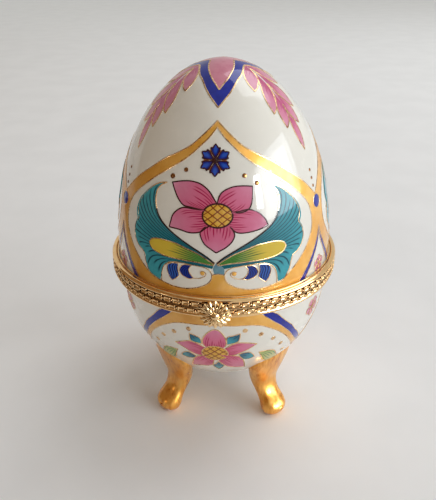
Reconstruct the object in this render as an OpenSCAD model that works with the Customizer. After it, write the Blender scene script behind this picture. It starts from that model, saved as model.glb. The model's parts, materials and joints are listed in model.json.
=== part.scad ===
// Hinged egg-shaped porcelain trinket box on four cabriole feet.
// The origin is on the egg's axis at the floor, +Z is up and the clasp faces -Y.

/* [Egg] */
// Height of the parting plane above the floor
part_z = 52; // [48:0.5:56]
// Outer radius of the lid at its edge
lid_r = 33.6; // [32:0.1:34]
// Height of the lid above the parting plane
lid_h = 60.5; // [50:0.5:70]
// Exponent of the lid outline along its height
lid_zpow = 2.3; // [2:0.05:2.6]
// Exponent of the lid outline along its radius
lid_rpow = 1.87; // [1.6:0.01:2.2]
// Outer radius of the bowl at its edge
bowl_r = 33.3; // [32:0.1:33.5]
// Depth of the bowl below the parting plane
bowl_h = 45.8; // [40:0.2:47]
// Exponent of the bowl outline along its height
bowl_zpow = 2.53; // [2:0.05:2.8]
// Exponent of the bowl outline along its radius
bowl_rpow = 1.4; // [1.3:0.01:2]
// Share of the bowl's depth at which its underside is ground flat
bowl_flat = 0.96; // [0.9:0.01:0.98]
// Wall of the lid
lid_wall = 2.2; // [1.8:0.1:2.4]
// Wall of the bowl
bowl_wall = 2.5; // [2.2:0.1:2.8]

/* [Rims] */
// Outer radius over the beads
rim_r = 36; // [35.8:0.1:37]
// Radius of a beaded wire's section
wire_r = 1.05; // [0.9:0.05:1.1]
// Sheet thickness of the rims
sheet = 0.4; // [0.3:0.05:0.45]
// Half of the gap between the two closed rims
rim_gap = 0.05; // [0.03:0.01:0.1]
// Depth of each rim along the porcelain
rim_h = 3.1; // [2.9:0.1:3.6]
// Height of the locating lip above the parting plane
lip_h = 0.8; // [0.4:0.1:1]

/* [Hinge] */
// Radius of the hinge barrel
barrel_r = 1.2; // [1.1:0.05:1.4]
// Radius of the hinge pin
pin_r = 0.5; // [0.4:0.05:0.6]
// Running clearance around the pin
pin_play = 0.05; // [0.02:0.01:0.1]
// Length of the middle knuckle
knuckle_w = 4; // [3:0.5:6]
// Length of each outer knuckle
side_w = 3; // [2:0.5:4]

/* [Clasp] */
// Radius of the stamped flower
flower_r = 4.4; // [3.8:0.1:5]
// Number of rays around the flower
rays = 16; // [10:1:20]
// Height of the flower's middle above the parting plane
flower_z = -1.1; // [-2:0.1:0]
// Width of the spring tongue
tongue_w = 3.2; // [2.4:0.1:4]

/* [Feet] */
// Radius at which the toes touch the floor
toe_r = 25.5; // [22:0.5:27]
// Angle of each foot from the front or the back
foot_angle = 45; // [40:1:50]
// Width of a foot where it joins the bowl
collar_w = 15.5; // [11:0.5:17]

/* [Hidden] */
$fn = 96;
steps = 30;
play = 0.1;
skin = 0.05;
shell_edge = rim_gap + sheet;
wall_in = bowl_r + 0.55;
wire_mid = rim_r - wire_r;
wire_z = rim_gap + skin + wire_r;
shoulder_z = wire_z + wire_r;
lid_in = lid_r - lid_wall;
bowl_in = bowl_r - bowl_wall;
hinge_y = rim_r + skin + barrel_r;
front_y = hinge_y + barrel_r;
tongue_y = rim_r + 0.12;
disc_y = tongue_y + sheet;
disc_t = 0.7;
bead_r = front_y - disc_y - disc_t;
leaf_gap = 0.15;
leaf_t = 1.1;
leaf_w = knuckle_w + 2 * side_w;

// The egg outline is a superellipse: (r / rr) ^ rpow + (z / hh) ^ zpow = 1.
function turn_at(z, hh, zpow) = asin(pow(z / hh, zpow / 2));
function outline(rr, hh, zpow, rpow, z0, z1) =
    let (a = turn_at(z0, hh, zpow), b = turn_at(z1, hh, zpow))
    [for (i = [0:steps]) let (t = a + (b - a) * i / steps)
        [rr * pow(abs(cos(t)), 2 / rpow), hh * pow(sin(t), 2 / zpow)]];
function backwards(list) = [for (i = [len(list) - 1:-1:0]) list[i]];

module shell_section(rr, hh, zpow, rpow, wall, cap) {
    inner_h = hh - wall - 0.3;
    outer = outline(rr, hh, zpow, rpow, shell_edge, hh * cap);
    inner = outline(rr - wall, inner_h, zpow, rpow, shell_edge, inner_h * cap);
    axis_points = cap < 1 ? [[0, hh * cap], [0, inner_h * cap]] : [];
    polygon(concat(outer, axis_points, backwards(inner)));
}

// The outside of the bowl as one closed solid, used to trim the feet.
module bowl_solid() {
    outer = outline(bowl_r, bowl_h, bowl_zpow, bowl_rpow, 1, bowl_h * bowl_flat);
    translate([0, 0, part_z])
        mirror([0, 0, 1])
            rotate_extrude()
                polygon(concat([[0, 1]], outer, [[0, bowl_h * bowl_flat]]));
}

module wire_section() {
    translate([wire_mid, wire_z]) circle(r = wire_r, $fn = 48);
}

// A sheet channel over the porcelain edge, with a seat for the beaded wire.
module channel_section(shell_in, inner_top) {
    outer_w = wire_mid - 0.2 - wall_in;
    lip_r = shell_in - skin - sheet;
    difference() {
        union() {
            translate([lip_r, rim_gap]) square([wire_mid - 0.2 - lip_r, sheet]);
            translate([lip_r, inner_top]) square([sheet, rim_h - 0.6 - inner_top]);
            translate([wall_in, rim_gap]) square([outer_w, shoulder_z - rim_gap + 0.3]);
        }
        wire_section();
    }
}

module lid_rim_section() {
    channel_section(lid_in, rim_gap);
    difference() {
        polygon([
            [wall_in, shoulder_z - 0.1], [rim_r - 0.1, shoulder_z - 0.1], [rim_r, shoulder_z + 0.1],
            [rim_r - 0.15, shoulder_z + 0.3], [wall_in + 0.5, rim_h], [wall_in, rim_h]
        ]);
        wire_section();
    }
}

module base_rim_section() {
    channel_section(bowl_in, -lip_h);
    difference() {
        polygon([
            [wall_in, shoulder_z - 0.1], [rim_r - 0.5, shoulder_z - 0.1], [rim_r - 0.4, shoulder_z + 0.2],
            [rim_r - 0.6, rim_h - 0.2], [rim_r - 1, rim_h], [wall_in, rim_h]
        ]);
        wire_section();
    }
}

// The cylinder that touches both beaded wires, which the leaves are soldered against.
module rim_outside() {
    cylinder(h = 4 * rim_h, r = rim_r, center = true, $fn = 480);
}

module lid_side() {
    translate([0, 0, part_z]) children();
}

module base_side() {
    translate([0, 0, part_z]) mirror([0, 0, 1]) children();
}

module cement(shell_r) {
    rotate_extrude()
        translate([shell_r, shell_edge])
            square([wall_in - shell_r, rim_h - 0.2 - shell_edge]);
}

module lid_shell() {
    color("ivory")
        lid_side()
            rotate_extrude() shell_section(lid_r, lid_h, lid_zpow, lid_rpow, lid_wall, 1);
}

module base_shell() {
    color("ivory")
        base_side()
            rotate_extrude() shell_section(bowl_r, bowl_h, bowl_zpow, bowl_rpow, bowl_wall, bowl_flat);
}

module lid_cement() {
    color("gainsboro") lid_side() cement(lid_r);
}

module base_cement() {
    color("gainsboro") base_side() cement(bowl_r);
}

module lid_rim() {
    color("gold") lid_side() rotate_extrude() lid_rim_section();
}

module base_rim() {
    color("gold") base_side() rotate_extrude() base_rim_section();
}

module lid_bead_wire() {
    color("gold") lid_side() rotate_extrude() wire_section();
}

module base_bead_wire() {
    color("gold") base_side() rotate_extrude() wire_section();
}

// Two balls of a foot, each spread sideways, at a distance out from the axis and a height.
module foot_pair(spread, out, z, r) {
    for (side = [-1, 1])
        translate([side * spread, -out, z]) sphere(r = r, $fn = 24);
}

// A cabriole foot: a wide collar under the bowl, a narrow ankle and a toe turned outwards.
module foot(angle) {
    knee_z = part_z * 0.36;
    ankle_z = part_z * 0.19;
    color("goldenrod")
        rotate([0, 0, angle])
            difference() {
                union() {
                    hull() {
                        foot_pair(collar_w / 2 - 2.5, 22.6, part_z * 0.45, 2.5);
                        foot_pair(3.2, 20.2, knee_z, 3.2);
                    }
                    hull() {
                        foot_pair(3.2, 20.2, knee_z, 3.2);
                        foot_pair(0.9, 20, ankle_z, 3.1);
                    }
                    hull() {
                        foot_pair(0.9, 20, ankle_z, 3.1);
                        foot_pair(1, 22.8, part_z * 0.09, 3);
                    }
                    hull() {
                        foot_pair(1, 22.8, part_z * 0.09, 3);
                        foot_pair(1.3, toe_r, 2.6, 3);
                    }
                }
                bowl_solid();
                translate([0, 0, -10]) cube([80, 80, 20], center = true);
            }
}

module foot_front_left() {
    foot(-foot_angle);
}

module foot_front_right() {
    foot(foot_angle);
}

module foot_rear_left() {
    foot(foot_angle - 180);
}

module foot_rear_right() {
    foot(180 - foot_angle);
}

// A round bar along X through the hinge axis, centred on x.
module bar(x, w, r) {
    translate([x - w / 2, hinge_y, part_z])
        rotate([0, 90, 0]) cylinder(h = w, r = r);
}

module knuckle(x, w, bore_r) {
    difference() {
        bar(x, w, barrel_r);
        bar(x, w + 1, bore_r);
    }
}

// A leaf lies clear of the barrel and reaches it only through a web under its own knuckles.
module leaf() {
    difference() {
        translate([-leaf_w / 2, wire_mid - 2, barrel_r + leaf_gap])
            cube([leaf_w, front_y - barrel_r - wire_mid + 2, leaf_t]);
        rim_outside();
    }
}

module web(x, w) {
    difference() {
        translate([x - w / 2, wire_mid - 1, rim_gap + skin])
            cube([w, hinge_y - wire_mid + 1, barrel_r + leaf_gap - rim_gap - skin]);
        rim_outside();
    }
}

module hinge_lid_leaf() {
    color("gold")
        difference() {
            lid_side() {
                leaf();
                web(0, knuckle_w);
            }
            bar(0, knuckle_w + 1, barrel_r);
        }
}

module hinge_base_leaf() {
    side_x = (knuckle_w + side_w) / 2 + play;
    color("gold")
        difference() {
            base_side() {
                leaf();
                for (side = [-1, 1]) web(side * side_x, side_w - 2 * play);
            }
            bar(0, leaf_w + 2, barrel_r);
        }
}

module hinge_lid_knuckle() {
    color("gold") knuckle(0, knuckle_w, pin_r + pin_play);
}

module hinge_knuckle_left() {
    color("gold") knuckle(-(knuckle_w + side_w) / 2 - play, side_w, pin_r);
}

module hinge_knuckle_right() {
    color("gold") knuckle((knuckle_w + side_w) / 2 + play, side_w, pin_r);
}

module hinge_pin() {
    color("gold") bar(0, leaf_w + 2 * play, pin_r);
}

// A flat plate that faces the front, from depth y outwards by t.
module front_plate(y, t) {
    translate([0, -y, part_z])
        rotate([90, 0, 0]) linear_extrude(height = t) children();
}

module clasp_tongue() {
    color("gold")
        front_plate(tongue_y, sheet)
            translate([-tongue_w / 2, flower_z - flower_r + 1]) square([tongue_w, 2 * flower_r - 2]);
}

module clasp_flower() {
    ray_r = flower_r * sin(180 / rays);
    color("gold")
        front_plate(disc_y, disc_t)
            translate([0, flower_z]) {
                circle(r = flower_r - ray_r);
                for (i = [0:rays - 1])
                    rotate(i * 360 / rays) translate([flower_r - ray_r, 0]) circle(r = ray_r, $fn = 24);
            }
}

module clasp_bead() {
    color("gold")
        intersection() {
            translate([0, -disc_y - disc_t, part_z + flower_z]) sphere(r = bead_r);
            front_plate(disc_y + disc_t, 2 * bead_r) translate([0, flower_z]) square(4 * bead_r, center = true);
        }
}

// A small stud on the bowl's rim, just short of the tongue that passes it.
module catch_stud() {
    color("gold")
        difference() {
            translate([0, -wire_mid, part_z - shoulder_z - 0.45])
                rotate([90, 0, 0]) cylinder(h = wire_r + skin, r = 0.4, $fn = 24);
            base_side() rotate_extrude() {
                base_rim_section();
                wire_section();
            }
        }
}

lid_shell();
base_shell();
lid_cement();
base_cement();
lid_rim();
base_rim();
lid_bead_wire();
base_bead_wire();
foot_front_left();
foot_front_right();
foot_rear_left();
foot_rear_right();
hinge_lid_leaf();
hinge_lid_knuckle();
hinge_base_leaf();
hinge_knuckle_left();
hinge_knuckle_right();
hinge_pin();
clasp_tongue();
clasp_flower();
clasp_bead();
catch_stud();
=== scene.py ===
# %% [markdown]
# # A hinged porcelain egg box
# The real box is two slip-cast porcelain shells, each with a gilt-brass rim cemented over its edge, a
# small barrel hinge at the back, a stamped flower clasp at the front and four gilded feet. Its decoration
# is a set of printed transfers, fired on top of the glaze, with gold lines drawn round them. Each of
# those is made here as its own piece on the frame that the CAD model gives, in metres.

# %% Load the CAD frame and measure it
import json
import math
from contextlib import contextmanager
from functools import partialmethod

import bpy
import numpy as np
from mathutils import Matrix, Vector


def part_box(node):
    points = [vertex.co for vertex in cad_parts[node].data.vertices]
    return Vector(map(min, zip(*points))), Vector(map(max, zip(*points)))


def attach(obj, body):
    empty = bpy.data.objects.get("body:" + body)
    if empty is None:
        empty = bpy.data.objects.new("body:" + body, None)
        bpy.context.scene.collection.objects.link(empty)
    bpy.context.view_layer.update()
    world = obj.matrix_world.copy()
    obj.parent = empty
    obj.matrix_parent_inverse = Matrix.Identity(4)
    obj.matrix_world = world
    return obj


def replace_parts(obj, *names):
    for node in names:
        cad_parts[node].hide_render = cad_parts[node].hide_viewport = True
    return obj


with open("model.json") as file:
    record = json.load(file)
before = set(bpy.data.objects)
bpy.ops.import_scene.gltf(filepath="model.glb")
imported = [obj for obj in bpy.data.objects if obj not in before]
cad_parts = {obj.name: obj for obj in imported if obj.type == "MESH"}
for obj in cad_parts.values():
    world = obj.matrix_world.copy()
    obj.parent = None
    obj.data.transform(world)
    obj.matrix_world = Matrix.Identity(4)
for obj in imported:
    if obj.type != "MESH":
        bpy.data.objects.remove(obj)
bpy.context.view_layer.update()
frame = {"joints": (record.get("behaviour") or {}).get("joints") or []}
MM = 0.001
HINGE = next(joint for joint in frame["joints"] if joint["name"] == "lid_hinge")
PART_Z = HINGE["pos_m"][2]

# %% [markdown]
# ## Camera
# The camera stands 187 mm from the middle of the rim, a little above it and a little to its right.

# %% Camera
CAMERA_DISTANCE = 187.4 * MM
CAMERA_SIDE = math.radians(3.75)
CAMERA_RISE = math.radians(27.68)
AIM_SIDE = math.radians(4.39)
AIM_DOWN = math.radians(27.79)
AIM_ROLL = math.radians(-0.57)
FOCAL_LENGTH = 40.98

camera = bpy.data.objects.new("camera", bpy.data.cameras.new("camera"))
bpy.context.scene.collection.objects.link(camera)
bpy.context.scene.camera = camera
camera.data.sensor_width = 36
camera.data.lens = FOCAL_LENGTH
camera.data.clip_start = 0.005
camera.data.clip_end = 20
camera.matrix_world = (
    Matrix.Translation((
        CAMERA_DISTANCE * math.sin(CAMERA_SIDE) * math.cos(CAMERA_RISE),
        -CAMERA_DISTANCE * math.cos(CAMERA_SIDE) * math.cos(CAMERA_RISE),
        CAMERA_DISTANCE * math.sin(CAMERA_RISE) + PART_Z,
    ))
    @ Matrix.Rotation(AIM_SIDE, 4, "Z")
    @ Matrix.Rotation(math.pi / 2 - AIM_DOWN, 4, "X")
    @ Matrix.Rotation(AIM_ROLL, 4, "Z")
)
print("camera at", [round(place / MM) for place in camera.location], "mm")


# %% [markdown]
# ## Writing a finish
# A finish is arithmetic on what the surface knows: its place, its own UV map, and noise. `Wire` lets that
# arithmetic be written as ordinary expressions, and `Finish.node` adds any other node in one line.

# %% Shader arithmetic
class Wire:
    """A node's output that can be added, subtracted and multiplied like a number."""

    def __init__(self, finish, socket):
        self.finish = finish
        self.socket = socket

    def math(self, operation, *others, swap=False):
        inputs = [*others, self] if swap else [self, *others]
        return self.finish.node("ShaderNodeMath", {"operation": operation}, dict(enumerate(inputs)))

    __add__ = __radd__ = partialmethod(math, "ADD")
    __sub__ = partialmethod(math, "SUBTRACT")
    __rsub__ = partialmethod(math, "SUBTRACT", swap=True)
    __mul__ = __rmul__ = partialmethod(math, "MULTIPLY")
    most = partialmethod(math, "MAXIMUM")
    fraction = partialmethod(math, "FRACT")
    floor = partialmethod(math, "FLOOR")
    size = partialmethod(math, "ABSOLUTE")

    def ramp(self, low, high, to_low=0.0, to_high=1.0):
        values = {0: self, 1: low, 2: high, 3: to_low, 4: to_high}
        return self.finish.node("ShaderNodeMapRange", {"interpolation_type": "SMOOTHSTEP"}, values)


class Finish:
    """A material under construction, on a Principled surface."""

    def __init__(self, name, **constant):
        self.material = bpy.data.materials.new(name)
        self.material.use_nodes = True
        self.tree = self.material.node_tree
        self.surface = self.tree.nodes["Principled BSDF"]
        for socket, value in constant.items():
            self.surface.inputs[socket.replace("_", " ")].default_value = value

    def node(self, kind, settings=None, sockets=None, out=0):
        made = self.tree.nodes.new(kind)
        for setting, value in (settings or {}).items():
            setattr(made, setting, value)
        for socket, value in (sockets or {}).items():
            self.fill(made.inputs[socket], value)
        return Wire(self, made.outputs[out])

    def fill(self, socket, value):
        if isinstance(value, Wire):
            self.tree.links.new(value.socket, socket)
        else:
            socket.default_value = value

    def set(self, **sockets):
        for socket, value in sockets.items():
            self.fill(self.surface.inputs[socket.replace("_", " ")], value)

    def place(self):
        return self.node("ShaderNodeTexCoord", out="Object")

    def parts(self, vector):
        """The three parts of a vector."""
        split = self.tree.nodes.new("ShaderNodeSeparateXYZ")
        self.fill(split.inputs[0], vector)
        return [Wire(self, part) for part in split.outputs]

    def along_across(self):
        """The piece's own UV map: 0 to 1 along it and 0 to 1 across it."""
        return self.parts(self.node("ShaderNodeUVMap", {"uv_map": "UVMap"}))[:2]

    def noise(self, scale, detail=3.0, roughness=0.5, at=None):
        sockets = {"Vector": at or self.place(), "Scale": scale, "Detail": detail, "Roughness": roughness}
        return self.node("ShaderNodeTexNoise", sockets=sockets)

    def blend(self, amount, *colours):
        """Mixes two colours, each of them red, green and blue or an earlier blend."""
        first, second = [shade if isinstance(shade, Wire) else (*shade, 1.0) for shade in colours]
        sockets = {0: amount, 6: first, 7: second}
        return self.node("ShaderNodeMix", {"data_type": "RGBA"}, sockets, out=2)

    def bump(self, height, strength, distance):
        sockets = {"Height": height, "Strength": strength, "Distance": distance}
        self.set(Normal=self.node("ShaderNodeBump", sockets=sockets))


print("wires ready")

# %% [markdown]
# ## The porcelain and the colours
# Hard-paste porcelain is a cool cream body under a glaze that is glassy but never flat: it pools and
# ripples by a few hundredths of a millimetre, which bends the reflections, and it traps a few iron
# specks. The fired colours lie on it as thin coloured glass, so they share its gloss. Their brush strokes
# follow the shape of each petal or leaf, so they are drawn on its UV map, along the petal and across it.


# %% Porcelain glaze
def porcelain(name, body):
    gloss = {"Coat_Weight": 1.0, "Coat_Roughness": 0.025, "Coat_IOR": 1.5}
    glaze = Finish(name, IOR=1.5, Specular_IOR_Level=0.12, **gloss)
    cloud = glaze.noise(55, 4.0)
    speck = glaze.noise(1500, 1.0).ramp(0.79, 0.84)
    pale = [min(1.0, level * 1.06) for level in body]
    tint = glaze.blend(cloud.ramp(0.35, 0.7), body, pale)
    glaze.set(Base_Color=glaze.blend(speck * 0.3, tint, (0.45, 0.36, 0.26)))
    glaze.set(Roughness=glaze.noise(220, 3.0).ramp(0.3, 0.75, 0.16, 0.3))
    ripple = glaze.noise(95, 1.5) + glaze.noise(420, 2.0) * 0.12
    glaze.bump(ripple, 0.25, 0.00035)
    return glaze.material


PORCELAIN = porcelain("porcelain_glaze", (0.79, 0.76, 0.685))
print(PORCELAIN.name, "mixed")


# %% Fired enamels, each drawn along and across its own shape
def enamel(name):
    gloss = {"Coat_Weight": 0.9, "Coat_Roughness": 0.035, "Coat_IOR": 1.5}
    fired = Finish(name, Roughness=0.3, IOR=1.5, Specular_IOR_Level=0.05, **gloss)
    fired.bump(fired.noise(900, 2.0), 0.12, 0.0001)
    return fired


def strokes(finish, across, count, width, seed):
    """Thin lines that run the length of a shape, and a random share that sets how far each one reaches."""
    lane = across * count
    middle = (lane.fraction() - 0.5).size()
    chance = {"W": lane.floor() + seed}
    reach = finish.node("ShaderNodeTexWhiteNoise", {"noise_dimensions": "1D"}, chance)
    return (width - middle).ramp(0.0, 0.12), reach


def petal_enamel(name, heart, flesh, tip, ink):
    fired = enamel(name)
    along, across = fired.along_across()
    line, reach = strokes(fired, across, 11, 0.26, 0.37)
    inside = (0.5 - (across - 0.5).size()).ramp(0.07, 0.16)
    drawn = line * inside * (reach * 0.26 + 0.36 - along).ramp(0.0, 0.14) * (along - 0.1).ramp(0.0, 0.06)
    soft = fired.blend(along.ramp(0.05, 0.5), heart, flesh)
    soft = fired.blend(along.ramp(0.4, 1.0), soft, tip)
    mottle = fired.noise(700, 3.0).ramp(0.35, 0.7) * 0.18
    soft = fired.blend(mottle, soft, heart)
    fired.set(Base_Color=fired.blend(drawn, soft, ink))
    return fired.material


def leaf_enamel(name, inner, outer, ink, count, start, end):
    fired = enamel(name)
    along, across = fired.along_across()
    line, reach = strokes(fired, across, count, 0.20, 0.61)
    drawn = line * (along - start).ramp(0.0, 0.15) * (reach * 0.2 + end - along).ramp(0.0, 0.12)
    soft = fired.blend(along.ramp(0.15, 0.9), inner, outer)
    soft = fired.blend(fired.noise(650, 3.0).ramp(0.35, 0.7) * 0.25, soft, inner)
    fired.set(Base_Color=fired.blend(drawn, soft, ink))
    return fired.material


def plain_enamel(name, shade, deep):
    fired = enamel(name)
    fired.set(Base_Color=fired.blend(fired.noise(500, 4.0).ramp(0.3, 0.75), shade, deep))
    return fired.material


def banded_blue(name, shade, slant):
    fired = enamel(name)
    along, across = fired.along_across()
    bands = ((along * slant + across * 4.0).fraction() - 0.5).size().ramp(0.16, 0.36)
    fired.set(Base_Color=fired.blend(bands, (0.002, 0.008, 0.10), shade))
    return fired.material


def petal_blue(name):
    fired = enamel(name)
    along, across = fired.along_across()
    edge = (across - 0.5).size() * 2.0
    bright = (1.0 - edge).ramp(0.35, 0.8) * (along - 0.2).ramp(0.0, 0.3)
    rim = edge.ramp(0.62, 0.86).most((0.28 - along).ramp(0.0, 0.2))
    soft = fired.blend(bright, (0.004, 0.014, 0.20), (0.02, 0.085, 0.46))
    fired.set(Base_Color=fired.blend(rim, soft, (0.006, 0.005, 0.035)))
    return fired.material


def hatched_yellow(name):
    fired = enamel(name)
    along, across = fired.along_across()
    rise = ((along + across) * 3.0).fraction()
    fall = ((along - across) * 3.0 + 3.0).fraction()
    hatch = (0.13 - (rise - 0.5).size()).ramp(0.0, 0.06).most((0.13 - (fall - 0.5).size()).ramp(0.0, 0.06))
    soft = fired.blend(fired.noise(800, 3.0).ramp(0.3, 0.7), (0.66, 0.33, 0.03), (0.76, 0.45, 0.07))
    fired.set(Base_Color=fired.blend(hatch, soft, (0.24, 0.045, 0.008)))
    return fired.material


def spear_enamel(name):
    fired = enamel(name)
    along, across = fired.along_across()
    line, reach = strokes(fired, across, 6, 0.22, 0.83)
    drawn = line * (reach * 0.25 + 0.5 - along).ramp(0.0, 0.2)
    soft = fired.blend(along.ramp(0.2, 0.7), (0.09, 0.27, 0.05), (0.70, 0.50, 0.05))
    fired.set(Base_Color=fired.blend(drawn, soft, (0.015, 0.10, 0.03)))
    return fired.material


PINK = petal_enamel("pink_enamel", (0.60, 0.10, 0.20), (0.66, 0.15, 0.27),
                    (0.70, 0.25, 0.38), (0.42, 0.008, 0.07))
GARLAND = petal_enamel("garland_enamel", (0.56, 0.10, 0.24), (0.66, 0.22, 0.34),
                       (0.70, 0.32, 0.42), (0.42, 0.02, 0.12))
INK = plain_enamel("ink_line", (0.012, 0.010, 0.014), (0.03, 0.012, 0.010))
MAROON = plain_enamel("maroon_line", (0.055, 0.008, 0.012), (0.03, 0.006, 0.006))
SALMON = plain_enamel("salmon_enamel", (0.62, 0.20, 0.07), (0.50, 0.12, 0.05))
ROSE = plain_enamel("rose_enamel", (0.66, 0.25, 0.33), (0.60, 0.19, 0.28))
TEAL = leaf_enamel("teal_enamel", (0.004, 0.13, 0.17), (0.045, 0.36, 0.43),
                   (0.001, 0.055, 0.085), 17, 0.06, 0.84)
GREEN = leaf_enamel("green_enamel", (0.33, 0.42, 0.11), (0.58, 0.56, 0.22), (0.03, 0.20, 0.06), 5, 0.05, 0.55)
SMALL_TEAL = leaf_enamel("small_teal_enamel", (0.008, 0.12, 0.20), (0.05, 0.36, 0.43),
                         (0.004, 0.05, 0.14), 3, 0.02, 0.45)
BLUE = plain_enamel("cobalt_enamel", (0.003, 0.015, 0.33), (0.002, 0.009, 0.24))
SCALE_BLUE = banded_blue("scale_blue_enamel", (0.025, 0.12, 0.50), 3.0)
CRESCENT_BLUE = banded_blue("crescent_blue_enamel", (0.006, 0.035, 0.34), 5.0)
STAR_BLUE = petal_blue("starflower_enamel")
HATCHED = hatched_yellow("hatched_yellow_enamel")
SPEAR = spear_enamel("spear_enamel")
SKY = plain_enamel("sky_enamel", (0.17, 0.33, 0.40), (0.12, 0.25, 0.32))
print(len(bpy.data.materials), "finishes so far")

# %% [markdown]
# ## Gold, four ways
# The broad bands are liquid-bright gold over a yellow ground, so they are half metal and a little soft.
# The drawn lines are thicker gold, worn through in places. The rims and clasp are plated brass, polished
# where fingers reach, with painted shade darkening their hollows. The feet are porcelain under brushed gold
# lustre, with streaks of the brush and small thin places.


# %% Gold finishes
def band_gold(name):
    gold = Finish(name, Metallic=0.42, Coat_Weight=1.0, Coat_Roughness=0.05)
    cloud = gold.noise(160, 4.0).ramp(0.3, 0.7)
    gold.set(Base_Color=gold.blend(cloud, (0.74, 0.34, 0.03), (0.84, 0.46, 0.09)))
    gold.set(Roughness=gold.noise(600, 3.0).ramp(0.3, 0.7, 0.42, 0.55))
    gold.bump(gold.noise(1400, 2.0), 0.2, 0.00008)
    return gold.material


def line_gold(name, bright, thin):
    gold = Finish(name, Metallic=0.9)
    worn = gold.noise(420, 4.0, 0.65).ramp(0.52, 0.68)
    gold.set(Base_Color=gold.blend(worn, bright, thin))
    gold.set(Roughness=gold.noise(900, 2.0).ramp(0.3, 0.7, 0.16, 0.34))
    return gold.material


def plated_brass(name, bright, tarnish, smooth, rough):
    metal = Finish(name, Metallic=1.0)
    film = metal.noise(260, 4.0, 0.6).ramp(0.45, 0.75)
    # Painted shade: ambient occlusion finds the hollows and creases, and there the colour is darkened towards
    # a third of the tarnish colour.
    hollow = metal.node("ShaderNodeAmbientOcclusion", {"samples": 8}, {"Distance": 0.0012}, out="AO")
    dark = (1.0 - hollow).ramp(0.25, 0.75)
    soft = metal.blend(film * 0.4, bright, tarnish)
    metal.set(Base_Color=metal.blend(dark, soft, [level * 0.3 for level in tarnish]))
    metal.set(Roughness=metal.noise(1300, 3.0).ramp(0.3, 0.75, smooth, rough))
    metal.bump(metal.noise(1800, 3.0), 0.12, 0.00006)
    return metal.material


def foot_lustre(name):
    lustre = Finish(name, Metallic=0.78, Coat_Weight=0.6, Coat_Roughness=0.04)
    drawn_out = {"Vector": lustre.place(), "Scale": (1.0, 1.0, 0.16)}
    stretched = lustre.node("ShaderNodeMapping", sockets=drawn_out)
    brush = lustre.noise(700, 3.0, 0.6, at=stretched)
    thin = lustre.noise(240, 4.0, 0.6).ramp(0.62, 0.76)
    pool = lustre.noise(120, 2.0).ramp(0.35, 0.65)
    pale = lustre.blend(pool, (0.88, 0.42, 0.07), (0.96, 0.52, 0.12))
    tone = lustre.blend(brush.ramp(0.28, 0.64), (0.72, 0.26, 0.025), pale)
    lustre.set(Base_Color=lustre.blend(thin * 0.5, tone, (0.36, 0.11, 0.02)))
    lustre.set(Roughness=brush.ramp(0.3, 0.75, 0.27, 0.4))
    lustre.bump(brush, 0.12, 0.00005)
    return lustre.material


BAND_GOLD = band_gold("band_gold")
LINE_GOLD = line_gold("line_gold", (0.80, 0.55, 0.30), (0.34, 0.15, 0.06))
DOT_GOLD = line_gold("dot_gold", (0.32, 0.15, 0.055), (0.12, 0.04, 0.018))
RIM_BRASS = plated_brass("rim_brass", (0.97, 0.66, 0.33), (0.72, 0.30, 0.09), 0.05, 0.15)
HINGE_BRASS = plated_brass("hinge_brass", (0.90, 0.61, 0.30), (0.60, 0.29, 0.10), 0.14, 0.28)
CLASP_BRASS = plated_brass("clasp_brass", (0.96, 0.70, 0.38), (0.66, 0.31, 0.11), 0.05, 0.15)
FOOT_GOLD = foot_lustre("foot_lustre")


def setting_cement(name):
    cement = Finish(name, Roughness=0.85)
    grain = cement.noise(2500, 4.0)
    cement.set(Base_Color=cement.blend(grain.ramp(0.3, 0.7), (0.60, 0.58, 0.52), (0.72, 0.70, 0.64)))
    cement.bump(grain, 0.3, 0.0001)
    return cement.material


CEMENT = setting_cement("setting_cement")
print("gold ready")

# %% [markdown]
# ## Working by operator
# Every piece starts as a primitive and is shaped with Blender's own operators. An operator works on all
# that is selected, so each step first selects exactly what it means to change.


# %% Selection helpers
def only(*pieces):
    bpy.ops.object.select_all(action="DESELECT")
    for piece in pieces:
        piece.select_set(True)
    bpy.context.view_layer.objects.active = pieces[0]


def named(name, material):
    """Names the piece that was just added and gives it its only finish."""
    piece = bpy.context.active_object
    piece.name = name
    piece.data.name = name
    piece.data.materials.clear()
    piece.data.materials.append(material)
    return piece


def primitive(kind, name, material, **settings):
    """Adds one of Blender's primitives with nothing else selected."""
    bpy.ops.object.select_all(action="DESELECT")
    getattr(bpy.ops.mesh, f"primitive_{kind}_add")(**settings)
    return named(name, material)


@contextmanager
def editing(select="SELECT"):
    """Edit mode with everything, or nothing, selected first."""
    bpy.ops.object.mode_set(mode="EDIT")
    bpy.ops.mesh.select_all(action=select)
    yield
    bpy.ops.object.mode_set(mode="OBJECT")


def smoothed(piece, crease):
    """Shades a piece smooth except where it bends by more than the crease, in degrees."""
    only(piece)
    bpy.ops.object.shade_smooth_by_angle(angle=math.radians(crease))
    return piece


def joined(pieces, name):
    only(*pieces)
    if len(pieces) > 1:
        bpy.ops.object.join()
    piece = bpy.context.active_object
    piece.name = name
    piece.data.name = name
    return piece


def apply_modifier(piece, kind, **settings):
    only(piece)
    modifier = piece.modifiers.new(kind.lower(), kind)
    for setting, value in settings.items():
        setattr(modifier, setting, value)
    bpy.ops.object.modifier_apply(modifier=modifier.name)


def copy_round(piece, angles, axis="Z"):
    """Copies of a piece turned about an axis through the origin, each with its own mesh."""
    copies = [piece]
    for angle in angles:
        only(piece)
        bpy.ops.object.duplicate()
        copy = bpy.context.active_object
        copy.data.transform(Matrix.Rotation(math.radians(angle), 4, axis))
        copies.append(copy)
    return copies


def ride(piece, body):
    """Fixes a piece to the body that it moves with."""
    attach(piece, body)
    return piece


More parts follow.
